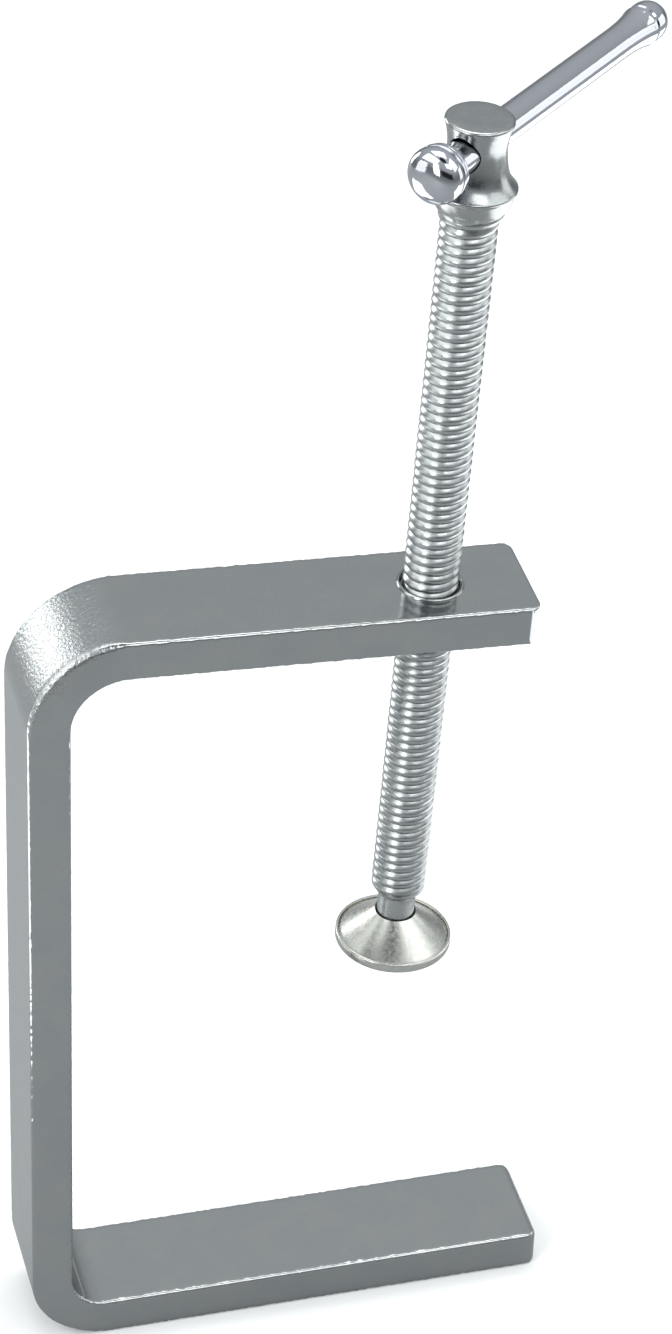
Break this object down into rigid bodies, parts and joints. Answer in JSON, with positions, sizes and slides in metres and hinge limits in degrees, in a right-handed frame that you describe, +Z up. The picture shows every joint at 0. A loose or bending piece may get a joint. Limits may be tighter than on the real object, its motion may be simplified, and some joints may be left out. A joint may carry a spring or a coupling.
{
  "type": "screw clamp",
  "caption": "Screw clamp: a C-shaped frame bent from flat steel bar, a threaded spindle turned by a sliding bar, and a swivel pad on the spindle's tip.",
  "frame": {"origin": "the point of the fixed jaw's clamping face that the screw axis meets", "axes": "+Z up from the fixed jaw, square to its face; +X from the spine to the open ends of the arms; Y across the flat bar. The screw axis leans 2.65 degrees from +Z towards +X, as the bent upper arm does"},
  "size_m": [0.1022, 0.0468, 0.2068],
  "materials": {
    "plated_bar": "rolled flat bar with bright zinc plating, half mirror, with a faint orange peel",
    "bright_plating": "rolled thread and turned head with bright zinc plating",
    "chrome_plating": "polished and plated, high gloss",
    "turned_steel": "turned steel with fine turning marks, thin nickel plating, satin"
  },
  "bodies": {
    "frame": {"frame": "plated_bar"},
    "pad_washer": {"pad_washer": "turned_steel"},
    "spindle": {"spindle": "bright_plating"},
    "tommy_bar": {"tommy_bar": "chrome_plating", "bar_knob": "chrome_plating", "bar_cap": "chrome_plating"},
    "pad": {"pad_shell": "turned_steel", "pad_face": "turned_steel"}
  },
  "joints": [
    {"name": "spindle_travel", "type": "slide", "parent": "frame", "child": "pad_washer", "axis": [0.0462, 0, 0.9989], "range_m": [-0.05701, 0.05251]},
    {"name": "spindle_turn", "type": "hinge", "parent": "pad_washer", "child": "spindle", "pos_m": [0, 0, 0], "axis": [0.0462, 0, 0.9989], "range_deg": [-13680, 12600]},
    {"name": "tommy_slide", "type": "slide", "parent": "spindle", "child": "tommy_bar", "axis": [0.7306, 0.682, -0.0338], "range_m": [-0.037, 0.0028]},
    {"name": "pad_tilt", "type": "hinge", "parent": "pad_washer", "child": "pad", "pos_m": [0.00295, 0, 0.06383], "axis": [0, 1, 0], "range_deg": [-5, 5]}
  ],
  "couplings": [
    {"joint": "spindle_travel", "follows": "spindle_turn", "m_per_rad": 0.00023873}
  ]
}
